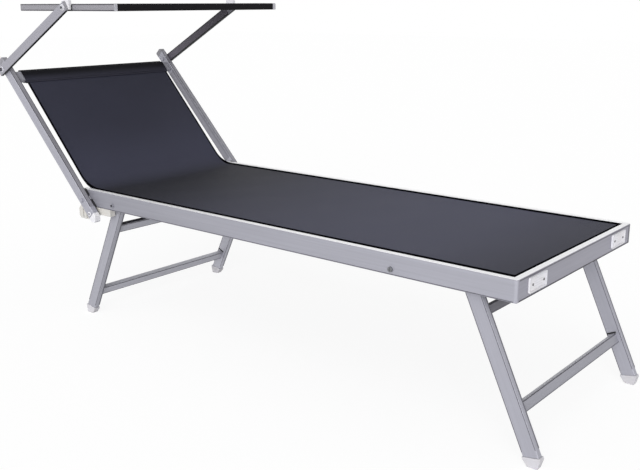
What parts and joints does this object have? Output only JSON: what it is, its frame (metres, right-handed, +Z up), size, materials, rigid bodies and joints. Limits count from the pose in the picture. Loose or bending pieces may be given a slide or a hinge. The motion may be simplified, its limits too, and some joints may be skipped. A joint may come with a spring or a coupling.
{
  "type": "sun lounger with canopy",
  "caption": "Folding sun lounger with a woven sling seat, a reclining back and an adjustable sun canopy on swinging arms.",
  "frame": {"origin": "centre of the bounding box's footprint, on the floor under the four feet", "axes": "+X to the foot end, +Y to the sleeper's left, +Z up"},
  "size_m": [1.7848, 0.6566, 0.9176],
  "materials": {
    "aluminium": "satin anodised with fine lengthwise brushing",
    "white_nylon": "plain moulded, satin",
    "mesh_fabric": "coated yarn in a fine open weave",
    "steel": "zinc-plated",
    "grey_plastic": "plain moulded, satin"
  },
  "bodies": {
    "seat_frame": {"back_pivot_bolt_left": "steel", "back_pivot_bolt_right": "steel", "back_pivot_washer_left": "white_nylon", "back_pivot_washer_right": "white_nylon", "foot_leg_pin_left": "steel", "foot_leg_pin_right": "steel", "foot_plate_left": "white_nylon", "foot_plate_right": "white_nylon", "foot_rail": "aluminium", "head_cross_tube": "aluminium", "head_leg_bolt_left": "steel", "head_leg_bolt_right": "steel", "rail_end_cap_left": "grey_plastic", "rail_end_cap_right": "grey_plastic", "rest_block_left": "white_nylon", "rest_block_right": "white_nylon", "seat_sling": "mesh_fabric", "seat_spreader_tube": "aluminium", "side_rail_left": "aluminium", "side_rail_right": "aluminium", "sling_bend": "mesh_fabric", "spreader_screw_left": "steel", "spreader_screw_right": "steel"},
    "back_frame": {"arm_bolt_left": "steel", "arm_bolt_right": "steel", "arm_washer_left": "white_nylon", "arm_washer_right": "white_nylon", "back_crossbar": "aluminium", "back_shoe_left": "white_nylon", "back_shoe_right": "white_nylon", "back_sling": "mesh_fabric", "back_top_cap_left": "grey_plastic", "back_top_cap_right": "grey_plastic", "back_tube_left": "aluminium", "back_tube_right": "aluminium"},
    "canopy_arms": {"canopy_arm_left": "aluminium", "canopy_arm_right": "aluminium", "canopy_bolt_left": "steel", "canopy_bolt_right": "steel"},
    "canopy_frame": {"canopy_fabric": "mesh_fabric", "canopy_front_bar": "aluminium", "canopy_knuckle_left": "white_nylon", "canopy_knuckle_right": "white_nylon", "canopy_rear_bar": "aluminium", "canopy_side_rail_left": "aluminium", "canopy_side_rail_right": "aluminium"},
    "foot_legs": {"foot_foot_left": "white_nylon", "foot_foot_right": "white_nylon", "foot_leg_left": "aluminium", "foot_leg_low_bar": "aluminium", "foot_leg_right": "aluminium", "foot_leg_top_bar": "aluminium"},
    "head_legs": {"head_foot_left": "white_nylon", "head_foot_right": "white_nylon", "head_leg_left": "aluminium", "head_leg_low_bar": "aluminium", "head_leg_right": "aluminium", "head_leg_top_bar": "aluminium"}
  },
  "joints": [
    {"name": "back_recline", "type": "hinge", "parent": "seat_frame", "child": "back_frame", "pos_m": [-0.51994, 0, 0.3652], "axis": [0, 1, 0], "range_deg": [-46.2, 23.8], "deforming": ["sling_bend"]},
    {"name": "canopy_arm_tilt", "type": "hinge", "parent": "back_frame", "child": "canopy_arms", "pos_m": [-0.85909, 0, 0.71886], "axis": [0, 1, 0], "range_deg": [-100, 35]},
    {"name": "canopy_tilt", "type": "hinge", "parent": "canopy_arms", "child": "canopy_frame", "pos_m": [-0.52997, 0, 0.89756], "axis": [0, 1, 0], "range_deg": [-20, 20]},
    {"name": "foot_leg_fold", "type": "hinge", "parent": "seat_frame", "child": "foot_legs", "pos_m": [0.71376, 0, 0.36], "axis": [0, 1, 0], "range_deg": [0, 104]},
    {"name": "head_leg_fold", "type": "hinge", "parent": "seat_frame", "child": "head_legs", "pos_m": [-0.41394, 0, 0.36], "axis": [0, 1, 0], "range_deg": [-116, 0]}
  ]
}
